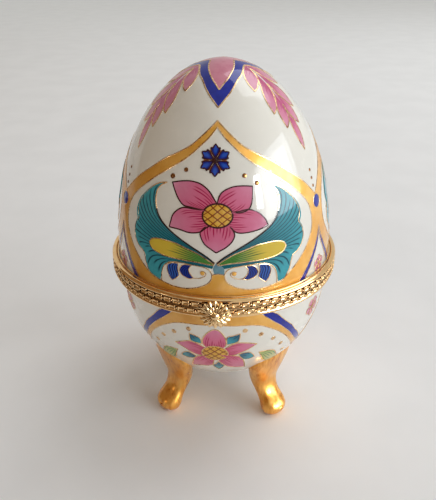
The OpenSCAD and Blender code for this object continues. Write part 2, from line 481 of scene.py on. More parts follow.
def spun(name, material, outline, axis, steps, crease):
    """Turns a closed outline about an axis through the origin."""
    piece = primitive("circle", name, material, vertices=len(outline), fill_type="NOTHING")
    for vertex, place in zip(piece.data.vertices, outline):
        vertex.co = place
    with editing():
        bpy.ops.mesh.spin(steps=steps, angle=2 * math.pi, center=(0, 0, 0), axis=axis)
        bpy.ops.mesh.select_all(action="SELECT")
        bpy.ops.mesh.remove_doubles(threshold=0.000002)
        bpy.ops.mesh.normals_make_consistent(inside=False)
    return smoothed(piece, crease)


def lathe(name, section, material):
    """Turns a closed section, given as (radius, height) in mm, about the egg's axis."""
    outline = [(radius * MM, 0.0, height * MM + PART_Z) for radius, height in section]
    return spun(name, material, outline, (0, 0, 1), steps=192, crease=38)


print("helpers ready")

# %% [markdown]
# ## The two shells
# An egg's outline is close to a superellipse: height and radius, each raised to its own power, add up to
# one. The same formula gives the shells here and the CAD solids, so the decoration can be laid on either
# half by its angle round the egg and its distance up the surface from the rim.

# %% Egg outline
LID_POWERS = (2.3, 1.87)  # of the height and of the radius
BOWL_POWERS = (2.53, 1.4)
BOWL_FLAT = 0.96  # how much of the bowl's height is left where its underside is ground flat
SHELL_EDGE = 0.45  # from the parting plane to the porcelain, in mm


class EggHalf:
    """One half of the egg, measured in mm from the parting plane. up is 1 for the lid and -1 for the bowl."""

    def __init__(self, radius, height, powers, up):
        turn = np.linspace(0, math.pi / 2, 3000)
        self.up = up
        self.height = height * np.sin(turn) ** (2 / powers[0])
        self.radius = radius * np.abs(np.cos(turn)) ** (2 / powers[1])
        steps = np.hypot(np.diff(self.height), np.diff(self.radius))
        self.arc = np.concatenate([[0], np.cumsum(steps)])

    def at(self, arc):
        return np.interp(arc, self.arc, self.radius), np.interp(arc, self.arc, self.height)

    def degree(self, arc):
        """The length in mm of one degree round the egg."""
        return self.at(arc)[0] * math.radians(1)

    def lay(self, degrees, arc, lift):
        """Points on the surface, in metres, raised off it by lift mm."""
        radius, height = self.at(arc)
        inner, above = self.at(np.minimum(arc + 0.2, self.arc[-1]))
        outer, below = self.at(np.maximum(arc - 0.2, 0.0))
        slope_r, slope_z = above - below, outer - inner
        length = np.hypot(slope_r, slope_z)
        radius = np.maximum(radius + lift * slope_r / length, 0.0)
        height = height + lift * slope_z / length
        turn = np.radians(degrees)
        spots = [radius * np.sin(turn), -radius * np.cos(turn), self.up * height + PART_Z / MM]
        return np.stack(spots, -1) * MM

    def section(self, first, last, count):
        """(radius, height) pairs from one height to another, closer together where the egg turns over."""
        arcs = np.linspace(*np.interp((first, last), self.height, self.arc), count)
        radii, heights = self.at(arcs)
        return [(radius, self.up * height) for radius, height in zip(radii, heights)]


lid_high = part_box("lid_shell")[1]
bowl_low, bowl_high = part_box("base_shell")
LID_R, LID_H = lid_high.x / MM, (lid_high.z - PART_Z) / MM
BOWL_R, BOWL_H = bowl_high.x / MM, (PART_Z - bowl_low.z) / MM / BOWL_FLAT
LID_WALL, BOWL_WALL = 2.2, 2.5
END_EXTRA = 0.3  # both shells are this much thicker at the ends, in mm
lid = EggHalf(LID_R, LID_H, LID_POWERS, 1)
bowl = EggHalf(BOWL_R, BOWL_H, BOWL_POWERS, -1)
print("lid", round(LID_R, 1), "by", round(LID_H, 1), "bowl", round(BOWL_R, 1), "by", round(BOWL_H, 1))

# %% Shells
lid_inner = EggHalf(LID_R - LID_WALL, LID_H - LID_WALL - END_EXTRA, LID_POWERS, 1)
bowl_inner = EggHalf(BOWL_R - BOWL_WALL, BOWL_H - BOWL_WALL - END_EXTRA, BOWL_POWERS, -1)
lid_outside = lid.section(SHELL_EDGE, LID_H, 72)
lid_inside = lid_inner.section(SHELL_EDGE, LID_H - LID_WALL - END_EXTRA, 44)
lid_porcelain = lathe("lid_porcelain", lid_outside + lid_inside[::-1], PORCELAIN)
bowl_outside = bowl.section(SHELL_EDGE, BOWL_H * BOWL_FLAT, 60)
bowl_inside = bowl_inner.section(SHELL_EDGE, (BOWL_H - BOWL_WALL - END_EXTRA) * BOWL_FLAT, 44)
closing = [(0.0, bowl_outside[-1][1]), (0.0, bowl_inside[-1][1])]
bowl_porcelain = lathe("bowl_porcelain", bowl_outside + closing + bowl_inside[::-1], PORCELAIN)
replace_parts(ride(lid_porcelain, "lid"), "lid_shell")
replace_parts(ride(bowl_porcelain, "base"), "base_shell")
print(len(lid_porcelain.data.polygons), "and", len(bowl_porcelain.data.polygons), "faces")

# %% [markdown]
# ## Laying a transfer on the egg
# The decoration is screen-printed on a sheet of lacquer, soaked off and slid on to the glazed egg, then
# fired: every printed shape stands a few hundredths of a millimetre proud, with gold lines over its
# edges. It could be painted with shader masks, but a real raised edge catches the light as it does on the
# box. So each shape is a grid primitive laid on the egg between its two long edges. Its UV map then runs
# along the shape and across it, which is what the brush strokes follow. The same third of the pattern
# goes round the egg three times, and its outlines are given in degrees round the egg and millimetres up
# from the rim.


# %% Curves and skins on the egg
def smooth(*stretches, count=28):
    """A smooth curve through (degrees, arc) points, with a corner wherever one stretch meets the next."""
    fine = []
    turn = np.linspace(0, 1, 12)[:, None]
    for stretch in stretches:
        spots = np.array(stretch, float)
        spots = np.vstack([2 * spots[0] - spots[1], spots, 2 * spots[-1] - spots[-2]])
        for a, b, c, d in zip(spots, spots[1:], spots[2:], spots[3:]):
            bend = (2 * a - 5 * b + 4 * c - d) * turn**2 + (3 * b - a - 3 * c + d) * turn**3
            fine.append(b + 0.5 * ((c - a) * turn + bend))
    fine = np.vstack(fine)
    steps = np.hypot(*(np.diff(fine, axis=0) * (0.55, 1.0)).T)
    length = np.concatenate([[0], np.cumsum(steps)])
    even = np.linspace(0, length[-1], count)
    return np.stack([np.interp(even, length, fine[:, axis]) for axis in (0, 1)], -1)


def edges_of(side, near, far, count=28):
    """Both edges of a shape as smooth curves, each placed by side() on its half of the pattern."""
    return smooth(side(near), count=count), smooth(side(far), count=count)


def along(curve, share):
    """The point a given share of the way along a curve."""
    knots = np.linspace(0, 1, len(curve))
    return np.stack([np.interp(share, knots, curve[:, axis]) for axis in (0, 1)], -1)


def grid(name, material, long, wide):
    """A grid primitive and the 0 to 1 places of its vertices, along and across."""
    piece = primitive("grid", name, material, x_subdivisions=long, y_subdivisions=wide, size=1, calc_uvs=True)
    places = np.array([vertex.co[:] for vertex in piece.data.vertices])
    return piece, places[:, 0] + 0.5, places[:, 1] + 0.5


def settle(piece, spots):
    """Moves a grid's vertices, closes its points and turns it outwards."""
    piece.data.vertices.foreach_set("co", spots.ravel())
    piece.data.update()
    only(piece)
    with editing():
        bpy.ops.mesh.remove_doubles(threshold=0.000004)
    middle = np.mean(spots, axis=0) - (0, 0, PART_Z)
    if sum(face.normal.dot(middle) * face.area for face in piece.data.polygons) < 0:
        with editing():
            bpy.ops.mesh.flip_normals()
    return piece


PRINT_THICKNESS = 0.16 * MM
PRINT_CREASE = 40
LINE_CROWN = 0.04  # how much higher a drawn line is along its middle, in mm


class Transfer:
    """A third of the decoration on one half of the egg. It gathers shapes by finish, then repeats them."""

    def __init__(self, half, body):
        self.half = half
        self.body = body
        self.shapes = {}

    def keep(self, piece):
        self.shapes.setdefault(piece.data.materials[0], []).append(piece)

    def shape(self, near, far, material, lift=0.05, start=None, end=None, cells=(24, 10)):
        """A printed shape between two edges, which may meet or be closed by a start and an end edge."""
        piece, u, v = grid("printed_shape", material, *cells)
        start = smooth([near[0], far[0]]) if start is None else start
        end = smooth([near[-1], far[-1]]) if end is None else end
        v2, u2 = v[:, None], u[:, None]
        spots = (1 - v2) * along(near, u) + v2 * along(far, u)
        spots += (1 - u2) * (along(start, v) - (1 - v2) * near[0] - v2 * far[0])
        spots += u2 * (along(end, v) - (1 - v2) * near[-1] - v2 * far[-1])
        self.keep(settle(piece, self.half.lay(spots[:, 0], spots[:, 1], lift)))

    def line(self, path, material=LINE_GOLD, width=0.3, lift=0.09):
        """A drawn line: a ribbon that is thickest along its middle."""
        piece, u, v = grid("drawn_line", material, len(path) - 1, 2)
        spots = along(path, u)
        ahead, behind = along(path, np.minimum(u + 0.01, 1)), along(path, np.maximum(u - 0.01, 0))
        if np.allclose(path[0], path[-1]):
            ahead, behind = along(path, (u + 0.01) % 1), along(path, (u - 0.01) % 1)
        degree = np.maximum(self.half.degree(spots[:, 1]), math.radians(1))
        run, rise = (ahead - behind)[:, 0] * degree, (ahead - behind)[:, 1]
        length = np.hypot(run, rise) + 1e-9
        side = (v - 0.5) * width
        degrees = spots[:, 0] - rise / length * side / degree
        arcs = spots[:, 1] + run / length * side
        crown = LINE_CROWN * (1 - (2 * v - 1) ** 2)
        self.keep(settle(piece, self.half.lay(degrees, arcs, lift + crown)))

    def outlined(self, near, far, material, lift=0.05, width=0.3, **more):
        self.shape(near, far, material, lift, **more)
        for edge in (near, far, *[more[key] for key in ("start", "end") if key in more]):
            self.line(edge, width=width)

    def disc(self, centre, wide, tall, material, lift=0.07, dome=0.0, cells=8):
        """A round or oval spot, wide and tall in mm from its middle, which may stand up as a dome."""
        piece, u, v = grid("spot", material, cells, cells)
        x, y = 2 * u - 1, 2 * v - 1
        round_x, round_y = x * np.sqrt(1 - y * y / 2), y * np.sqrt(1 - x * x / 2)
        degree = self.half.degree(centre[1])
        rise = dome * (1 - round_x**2 - round_y**2)
        degrees = centre[0] + round_x * wide / degree
        self.keep(settle(piece, self.half.lay(degrees, centre[1] + round_y * tall, lift + rise)))

    def ring(self, centre, wide, tall, material=LINE_GOLD, width=0.3):
        turn = np.linspace(0, 2 * math.pi, 49)
        degree = self.half.degree(centre[1])
        path = np.stack([centre[0] + np.cos(turn) * wide / degree, centre[1] + np.sin(turn) * tall], -1)
        self.line(path, material, width, lift=0.11)

    def fire(self):
        """Joins each finish's shapes, repeats them round the egg and gives them their thickness."""
        for material, shapes in self.shapes.items():
            third = joined(shapes, f"{self.body}_{material.name}")
            piece = joined(copy_round(third, (120, 240)), third.name)
            apply_modifier(piece, "SOLIDIFY", thickness=PRINT_THICKNESS, offset=-1)
            ride(smoothed(piece, PRINT_CREASE), self.body)
            print(piece.name, len(piece.data.polygons), "faces")


def flower(transfer, petals, heart, heart_size, cells, edge, near_width, far_width, ring_width):
    """Pink petals round a hatched heart, with a line drawn along each petal's edges and round the heart."""
    for near, far in petals:
        roots = smooth([near[0], heart, far[0]], count=9)
        near, far = smooth(near), smooth(far)
        transfer.shape(near, far, PINK, start=roots, cells=cells)
        transfer.line(near, edge, near_width)
        transfer.line(far, edge, far_width)
    transfer.disc(heart, *heart_size, HATCHED, lift=0.1, dome=0.08, cells=cells[1])
    transfer.ring(heart, *heart_size, edge, ring_width)


def across(points):
    """The same outline on the other side of its middle line."""
    return np.array(points, float) * (-1, 1)


def lean_right(points):
    """Moves the right half of the scrolls out by 2.4 degrees, because the print isn't quite even."""
    moved = np.array(points, float)
    share = np.clip(0.5 + 0.7 * moved[:, 0], 0, 1) * np.clip((35 - moved[:, 0]) / 4, 0, 1)
    moved[:, 0] += 2.4 * share
    return moved


def lean_left(points):
    """The left half of the scrolls, which meets the right half 1.2 degrees past the middle."""
    moved = across(points)
    moved[moved[:, 0] == 0, 0] = 1.2
    return moved


lid_print = Transfer(lid, "lid")
bowl_print = Transfer(bowl, "base")

# %% [markdown]
# ## The lid's gold frame
# A broad onion-shaped band of gold holds each bouquet. On the real box it is printed in one piece with a
# fine dark line at both edges. It is widest at the shoulders, where three bands meet over a blue spot.
# Half of it is four skins between the inner and the outer outline; the other half is their mirror image.

# %% Frame
FRAME_TOP_IN = [(0, 49), (5, 46.2), (10, 43.9), (15, 41.6), (20, 39.6), (25, 37.9), (30, 36.1), (35, 34.3),
                (40, 32.2), (45, 30), (50, 27.2), (52.8, 24.8)]
FRAME_TOP_OUT = [(0, 50.8), (5, 48.6), (10, 46.4), (15, 44.2), (20, 42.6), (25, 41.2), (30, 39.9),
                 (35, 38.2), (40, 36.2), (45, 34.3), (50, 32.2), (55, 29.6), (58, 27.9), (60, 26.8)]
FRAME_SIDE_IN = [(52.8, 24.8), (54, 22), (54, 19.5)]
FRAME_SIDE_OUT = [(60, 26.8), (60, 22), (60.1, 17.3)]
FRAME_FOOT_IN = [(54, 19.5), (53.2, 17.5), (51, 15.2), (48, 12.9), (44, 10.6), (40, 8.6), (36, 6.9),
                 (32, 5.9), (29, 5.4)]
FRAME_FOOT_OUT = [(60.1, 17.3), (58.2, 14.3), (55.7, 11.8), (52.3, 8.9), (48.2, 6), (42.3, 2.2), (41, 1.5)]
FRAME_BASE_IN = [(29, 5.4), (26, 5), (21, 4.5), (14.3, 4.5), (8.5, 5.3), (4.8, 6.3), (2.7, 7.4), (1.8, 8.6),
                 (1.6, 9.4), (0, 9.8)]
FRAME_BASE_OUT = [(41, 1.5), (20, 1.5), (0, 1.5)]

frame_parts = [
    (FRAME_TOP_IN, FRAME_TOP_OUT, 44),
    (FRAME_SIDE_IN, FRAME_SIDE_OUT, 12),
    (FRAME_FOOT_IN, FRAME_FOOT_OUT, 28),
    (FRAME_BASE_IN, FRAME_BASE_OUT, 28),
]
for inner, outer, cells in frame_parts:
    low = inner in (FRAME_FOOT_IN, FRAME_BASE_IN)
    for side in (lean_right, lean_left) if low else (np.array, across):
        inside, outside = edges_of(side, inner, outer, 56)
        lid_print.shape(inside, outside, BAND_GOLD, lift=0.04, cells=(cells, 6))
        lid_print.line(inside, width=0.32)
        if outer is not FRAME_BASE_OUT and outer is not FRAME_SIDE_OUT:
            lid_print.line(outside, width=0.32)
JOIN_SPOT = (60.5, 24.5)
lid_print.disc(JOIN_SPOT, 1.75, 1.85, BLUE, dome=0.1)
lid_print.ring(JOIN_SPOT, 1.85, 1.95, width=0.22)
for arc in (29.1, 31.3, 33.6):
    lid_print.disc((JOIN_SPOT[0] - 0.8, arc), 0.45, 0.45, DOT_GOLD, dome=0.1, cells=4)
print("frame laid")

# %% [markdown]
# ## The bouquet
# In each frame a pink flower with a hatched heart stands between two curled teal leaves. On the real
# print the petals are filled with thin pink enamel, with darker strokes running out from the heart. Each
# petal here is one skin from the heart to its point, so the strokes come from its own UV map. The teal
# leaves have two long edges and a scalloped end, and their veins fan out from the middle of the box.

# %% Big flower
PETALS = [
    ([(0.5, 29.3), (-1.2, 30.8), (-3.8, 32.7), (-8, 34.2), (-13.3, 34.75), (-18.8, 34.45), (-23.9, 33.8)],
     [(-6.3, 27.5), (-9.3, 27.7), (-13, 28), (-16.4, 28.3), (-19.3, 29.75), (-21.8, 31.8), (-23.9, 33.9)]),
    ([(0.7, 29.3), (1.9, 31.4), (4.4, 32.7), (9, 33.6), (14, 33.7), (19, 33.4)],
     [(8.2, 27), (12.3, 26.8), (16, 27.5), (17.75, 28.9), (18.6, 31), (19, 33.4)]),
    ([(-6.3, 27.5), (-11, 27.6), (-16, 27.7), (-19.3, 26.8), (-21.8, 25.2), (-22.8, 23.1), (-23.3, 21.8)],
     [(-3.1, 23.3), (-4.75, 22.7), (-7.7, 21.5), (-12.7, 21.1), (-17.7, 21.6), (-23.3, 21.8)]),
    ([(8.2, 27), (12, 27.2), (16, 27.5), (20.7, 26.6), (24, 24.75), (25.7, 22.7)],
     [(6.9, 23.1), (9.8, 21.6), (14, 21.3), (20.7, 21.8), (25.7, 22.7)]),
    ([(-4.75, 23.1), (-7.2, 21.6), (-7, 20.2), (-5.2, 18.3), (-2.25, 17), (0.25, 16)],
     [(7.75, 22.7), (9, 21), (7.75, 19.1), (4.8, 17.5), (2.5, 16.7), (0.25, 16)]),
]
HEART = (0.9, 26.1)
flower(lid_print, PETALS, HEART, (3.95, 3.15), (26, 14), MAROON, 0.34, 0.36, 0.46)
print("flower laid")

# %% Teal leaves and spears
LEAF_INNER = [(0.5, 12.9), (3.5, 14.4), (7.5, 15.9), (12.5, 17.5), (17, 18.9), (22.5, 20.7), (27, 22.5),
              (30.5, 24.6), (32.3, 27), (33, 29), (32.5, 31), (30.5, 32.4), (27, 33.5)]
LEAF_SCALLOPS = [
    [(27, 33.5), (31, 33), (35, 31.9), (39.5, 29.8), (43, 27.4), (45, 24.5), (44.3, 22.6), (43.6, 21.5)],
    [(43.6, 21.5), (45.8, 19.6), (46.3, 17.2), (45, 14.9), (42, 13.2), (38.8, 12.4)],
    [(38.8, 12.4), (37.8, 10.7), (37, 8.8), (35, 6.8), (31.5, 5.6), (28.5, 5.2)],
]
LEAF_LOWER = [(1.6, 11.3), (5, 11.7), (9.3, 12.1), (16, 12.4), (21.8, 12), (25.2, 10.8), (26.8, 9),
              (27.5, 7), (28.5, 5.2)]
SPEAR_TOP = [(0.6, 12.5), (3.5, 13.7), (8.5, 15.4), (14.3, 16.6), (19.3, 17.5), (24.3, 17.75), (29.3, 17.7),
             (33.5, 17), (35, 15.8)]
SPEAR_BOTTOM = [(1, 12.3), (7.7, 12.9), (16, 13.1), (24.3, 13.2), (30.2, 13.7), (33.5, 14.5), (35, 15.8)]
for side, leaning in ((np.array, lean_right), (across, lean_left)):
    inner, lower = smooth(side(LEAF_INNER), count=48), smooth(leaning(LEAF_LOWER), count=48)
    scallops = smooth(*map(side, LEAF_SCALLOPS[:2]), leaning(LEAF_SCALLOPS[2]), count=72)
    lid_print.shape(inner, lower, TEAL, end=scallops, cells=(36, 44))
    lid_print.line(inner[:34], INK, width=0.42)
    lid_print.line(inner[33:], width=0.3)
    lid_print.line(scallops, width=0.3)
    lid_print.outlined(*edges_of(side, SPEAR_TOP, SPEAR_BOTTOM, 36), SPEAR, lift=0.08, cells=(30, 8))
print("leaves laid")

# %% [markdown]
# ## Scrolls, starflower and dots
# Under the bouquet two white scrolls curl inwards, each with a blue crescent and a banded blue scale.
# Above it hangs a blue starflower. They are small, and only their gold outlines and a change of blue tell
# them apart.

# %% Scrolls
SCROLL = [(27.4, 5.2), (27.4, 6.8), (26.8, 8.9), (25.2, 10.6), (21.8, 11.8), (16, 12.2), (9.3, 11.9),
          (5, 11.5), (2.6, 10.6), (1.7, 9.5)]
CURL = [(10.2, 8.1), (7.7, 8.2), (5.2, 8.9), (4.5, 9.8), (6, 10.4), (7.4, 10.1)]
CRESCENT_OUT = [(11.4, 11.9), (15.2, 11.8), (16.8, 11), (17.5, 9.75), (16, 8.5), (12.7, 7.75), (10.3, 8.1)]
CRESCENT_IN = [(11.4, 11.9), (12.25, 11.2), (12.9, 10.2), (11.8, 8.9), (10.3, 8.1)]
SCALE_IN = [(18.1, 11.8), (18.4, 10.6), (18.2, 9.3), (17.9, 8.2), (19.4, 7.2), (21.3, 6.3)]
SCALE_OUT = [(18.1, 11.8), (21, 11.7), (23.5, 11), (24.1, 9.4), (23.1, 7.6), (21.3, 6.3)]
for side in (lean_right, lean_left):
    lid_print.line(smooth(side(SCROLL), count=48), width=0.28)
    lid_print.line(smooth(side(CURL), count=24), width=0.24)
    lid_print.disc(side([(6.2, 9.75)])[0], 0.6, 0.6, BAND_GOLD, lift=0.1, dome=0.1, cells=6)
    lid_print.outlined(*edges_of(side, CRESCENT_OUT, CRESCENT_IN), CRESCENT_BLUE, width=0.2, cells=(20, 6))
    lid_print.outlined(*edges_of(side, SCALE_IN, SCALE_OUT), SCALE_BLUE, width=0.2, cells=(20, 8))
DROP_LEFT = [(0.2, 12.9), (-1.2, 11.4), (-0.5, 9.7)]
DROP_RIGHT = [(1.4, 12.9), (3.9, 11.4), (3.9, 9.7)]
lid_print.shape(smooth(DROP_LEFT), smooth(DROP_RIGHT), SKY, lift=0.08, cells=(10, 4))
print("scrolls laid")

# %% Starflower and dots
STAR = (-0.7, 40.4)


def star_spot(turn, reach):
    """A place on the starflower, by its turn from straight up and its reach in mm."""
    degree = lid.degree(STAR[1])
    turn = math.radians(turn)
    return STAR[0] + reach * math.sin(turn) / degree, STAR[1] + reach * math.cos(turn)


for turn in range(0, 360, 60):
    edges = []
    for side in (-1, 1):
        flank = [(0, 0.3), (21, 1.5), (25, 2.6), (22, 3.45)]
        notch = [(22, 3.45), (12, 3.3), (8, 3.6), (0, 4.2)]
        edges.append(smooth(*[[star_spot(turn + side * swing, reach) for swing, reach in stretch]
                              for stretch in (flank, notch)]))
    lid_print.shape(*edges, STAR_BLUE, lift=0.07, cells=(16, 10))
    for edge in edges:
        lid_print.line(edge, MAROON, width=0.34)
    wedge = []
    for side in (-6, 6):
        stations = ((0, 1.6), (side, 2.4), (side, 3.0))
        wedge.append(smooth([star_spot(turn + 30 + swing, reach) for swing, reach in stations], count=10))
    lid_print.shape(*wedge, SALMON, cells=(6, 3))
lid_print.disc(STAR, 0.6, 0.6, MAROON, lift=0.12, dome=0.1, cells=6)
for degrees, arc, radius in [(-16.7, 37.5, 0.6), (-24.1, 35.4, 0.7), (15, 36.3, 0.6), (21.5, 34.1, 0.6)]:
    lid_print.disc((degrees, arc), radius, radius, DOT_GOLD, dome=0.12, cells=6)
print("starflower laid")

# %% [markdown]
# ## The spandrels, the garlands and the crown
# Between the frames, just over the rim, a blue stripe and a gold line enclose a small white triangle with
# a pink blossom. Above each join hangs a garland of seven pink leaves, and a blue chevron rings the pink
# crown.

# %% Spandrels
STRIPE_OUT = [(60.4, 16.9), (59.8, 14.3), (58.2, 11.8), (55.25, 8.9), (51.5, 5.6), (46.5, 1.5)]


def about_join(points):
    """The same outline on the far side of the line where two frames meet."""
    return np.array([(120.6 - degrees, arc) for degrees, arc in points])


for side in (np.array, about_join):
    inside, outside = edges_of(side, FRAME_FOOT_OUT, STRIPE_OUT, 36)
    lid_print.shape(inside, outside, BLUE, lift=0.06, cells=(28, 4))
    lid_print.line(outside, width=0.3)


def blossom(transfer, centre, size):
    """A little pink flower of five round petals with a hatched heart."""
    degree = transfer.half.degree(centre[1])
    for first in range(0, 360, 72):
        edges = []
        for side in (-1, 1):
            path = []
            for turn, reach in [(0, 0.12), (side * 26, 0.45), (side * 30, 0.78), (side * 14, 0.98), (0, 1.0)]:
                angle = math.radians(first + turn)
                path.append((centre[0] + size * reach * math.sin(angle) / degree,
                             centre[1] + size * reach * math.cos(angle)))
            edges.append(smooth(path, count=18))
        transfer.outlined(*edges, GARLAND, width=0.2, cells=(12, 8))
    transfer.disc(centre, size * 0.2, size * 0.2, HATCHED, lift=0.1, dome=0.1, cells=6)


blossom(lid_print, (60.3, 5.0), 2.7)
print("spandrels laid")

# %% Garlands
GARLAND_LEAVES = [
    ([(-1, 68.3), (-12, 67.3), (-20, 66), (-25, 64), (-26.3, 61.5), (-23.3, 58.5)],
     [(-1, 66.5), (-4, 64.5), (-8.3, 61.9), (-13.3, 60.7), (-18.3, 59.4), (-23.3, 58.5)]),
    ([(-2, 64.5), (-9, 61.5), (-13.3, 59), (-15.4, 57.3), (-16.7, 54.8), (-15, 51)],
     [(-1, 60), (-2.5, 56.5), (-5, 54.8), (-8.3, 53.2), (-10.8, 52.1), (-15, 51)]),
    ([(-1, 58.5), (-5, 55.25), (-8.3, 53.2), (-10, 51.1), (-9.6, 48.6), (-8.3, 46.5)],
     [(0, 53), (-0.5, 51), (-1.7, 49), (-5, 47.5), (-8.3, 46.5)]),
]


def hung(points):
    """A garland's outline, moved to where two frames meet."""
    return np.array(points, float) + (60, 0)


def hung_across(points):
    return across(points) + (60, 0)


for near, far in GARLAND_LEAVES:
    for side in (hung, hung_across):
        lid_print.outlined(*edges_of(side, near, far), GARLAND, width=0.34, cells=(24, 10))
left = smooth([(60.2, 51), (57.8, 48.5), (57.3, 45), (58.6, 42), (61, 39.3)])
right = smooth([(60.8, 51), (63.2, 48.5), (63.9, 45), (63, 42), (61, 39.3)])
lid_print.outlined(left, right, GARLAND, lift=0.07, width=0.34, cells=(20, 10))
print("garlands laid")

# %% Crown
CHEVRON_OUT = [(0, 54.4), (5, 56.5), (10, 58.4), (15, 60.3), (20, 62.1), (25, 63.4), (30, 64.3), (40, 66.3),
               (50, 67.8), (60, 68.5)]
CHEVRON_IN = [(0, 59.8), (2.5, 60.8), (5, 61.8), (10, 63.4), (15, 65), (20, 66.4), (30, 68.7), (40, 70.4),
              (50, 71.4), (60, 72)]
APEX = lid.arc[-1]
for side in (np.array, across):
    outer, inner = edges_of(side, CHEVRON_OUT, CHEVRON_IN, 40)
    lid_print.outlined(outer, inner, BLUE, lift=0.07, width=0.36, cells=(36, 6))
    tip = smooth(side([(0, APEX), (60, APEX)]), count=40)
    lid_print.shape(inner, tip, ROSE, lift=0.05, cells=(30, 12))
lid_print.fire()

# %% [markdown]
# ## The bowl's pattern
# Under the rim the same three-part pattern hangs upside down: a gold swag with a blue edge, and a smaller
# pink flower with teal leaves in each bay. It is the same transfer method, measured down from the rim.

# %% Swags
SWAG_OUT = [(24.4, 5.4), (29.8, 8.3), (34, 10.4), (38.2, 12.9), (42.3, 15.4), (45.7, 17.9), (49, 20),
            (53.2, 22.5), (58.2, 25), (60, 26)]
SWAG_IN = [(0, 7.2), (9, 7.5), (17.3, 7.8), (22.3, 8.5), (26.5, 9.8), (29.8, 11), (34, 12.9), (38.2, 15.2),
           (41.5, 17.3), (44.8, 19.6), (48.2, 22.1), (51.5, 24.6), (55.7, 27), (60, 29)]
BLUE_OUT = [(20, 1.5), (30.7, 5.4), (34.8, 7.9), (39, 10.4), (43.2, 12.9), (46.5, 15.4), (50.7, 17.9),
            (54.8, 20.8), (59, 23.3), (60, 24.5)]
for side in (np.array, across):
    inner = smooth(side(SWAG_IN), count=48)
    top = smooth(side([(0, 1.5), (14, 1.5), (20, 3.4)]), side(SWAG_OUT), count=48)
    bowl_print.shape(inner, top, BAND_GOLD, lift=0.04, cells=(44, 8))
    bowl_print.line(inner, width=0.3)
    bowl_print.outlined(*edges_of(side, SWAG_OUT, BLUE_OUT), BLUE, lift=0.06, width=0.24, cells=(28, 5))
    for dot in [(14.4, 9.6), (23.2, 12.1), (31.1, 15.3), (38, 19.5), (43.2, 24.6)]:
        bowl_print.disc(side(dot), 0.78, 0.78, LINE_GOLD, dome=0.12, cells=6)
blossom(bowl_print, (60, 10.5), 3.4)
print("swags laid")

# %% Bowl flower
BOWL_PETALS = [
    ([(-6.6, 15.9), (-7.7, 14.4), (-6.9, 12.2), (-4.8, 10.3), (-2.4, 9.1), (-0.5, 8.8)],
     [(4.2, 15.9), (5, 14.4), (4.4, 12.2), (2.9, 10.4), (1.2, 9.2), (-0.5, 8.8)]),
    ([(-7.25, 16.4), (-10.5, 15.2), (-15, 14.6), (-19, 15.5), (-23.7, 16.8)],
     [(-7.7, 21.1), (-12, 20.8), (-15.5, 19.8), (-19, 18.4), (-23.7, 16.8)]),
    ([(5.2, 16.3), (8, 15), (11.5, 14.4), (16.5, 14.9), (21.6, 15.9)],
     [(6, 20.6), (9.5, 20.3), (13, 19.2), (17.3, 17.8), (21.6, 15.9)]),
    ([(-7.9, 21.4), (-11.8, 21.9), (-14.8, 24.2), (-16.9, 27.1), (-18.8, 30)],
     [(-2.4, 23.9), (-3.3, 26.3), (-6, 27.8), (-11.5, 28.5), (-18.8, 30)]),
    ([(0.7, 23.9), (3, 26), (6.3, 28.1), (11.3, 29.2), (18, 29.8)],
     [(6, 21.4), (9.5, 20.7), (13, 21.6), (15.6, 24.4), (18, 29.8)]),
]
BOWL_HEART = (-1.4, 19.4)
flower(bowl_print, BOWL_PETALS, BOWL_HEART, (3.9, 3.7), (24, 12), LINE_GOLD, 0.34, 0.34, 0.34)
print("bowl flower laid")

# %% Bowl leaves
BOWL_LEAVES = [
    ([(-14.3, 11.3), (-11, 11.9), (-8.7, 12.7), (-8, 15)],
     [(-14.3, 11.3), (-14.4, 13), (-13.4, 14.4), (-8, 15)]),
    ([(12, 10.6), (8.5, 11.2), (5.4, 11.9), (5.1, 15)],
     [(12, 10.6), (11.8, 12.6), (10.6, 14), (5.1, 15)]),
    ([(-12.5, 22), (-16.8, 20.4), (-21, 21.7), (-22.7, 23.5)],
     [(-12.5, 22), (-15, 23.6), (-18.5, 24), (-22.7, 23.5)]),
    ([(12, 20), (17.3, 19.4), (20.7, 21.25), (21.9, 22.7)],
     [(12, 20), (14, 22.7), (18.2, 23.75), (21.9, 22.7)]),
    ([(0.4, 24), (-1.2, 25.8), (-3.4, 27.4), (0.3, 31)],
     [(0.4, 24), (2, 25.8), (3.9, 27.4), (0.3, 31)]),
]
for leaf in BOWL_LEAVES:
    bowl_print.outlined(*edges_of(np.array, *leaf), SMALL_TEAL, lift=0.04, width=0.28, cells=(18, 8))
LONG_TOP = [(24, 20.6), (29.8, 21), (34.8, 22.3), (37.3, 24.2), (44, 30)]
LONG_BOTTOM = [(24, 20.6), (26.5, 23.3), (29.8, 27.1), (36, 29.5), (44, 30)]
for side in (np.array, across):
    bowl_print.outlined(*edges_of(side, LONG_TOP, LONG_BOTTOM), GREEN, width=0.3, cells=(24, 10))
bowl_print.fire()

# %% [markdown]
# ## The rims
# Each rim on the real box is rolled brass: a smooth half-round flange, and beside it a pressed band of
# little bars and beads. The flange is turned on the lathe from its section. One unit of the band, a bar
# with a groove and a bead in a hollow, is modelled once and copied 80 times round the ring, because a
# pressed pattern is exactly regular.

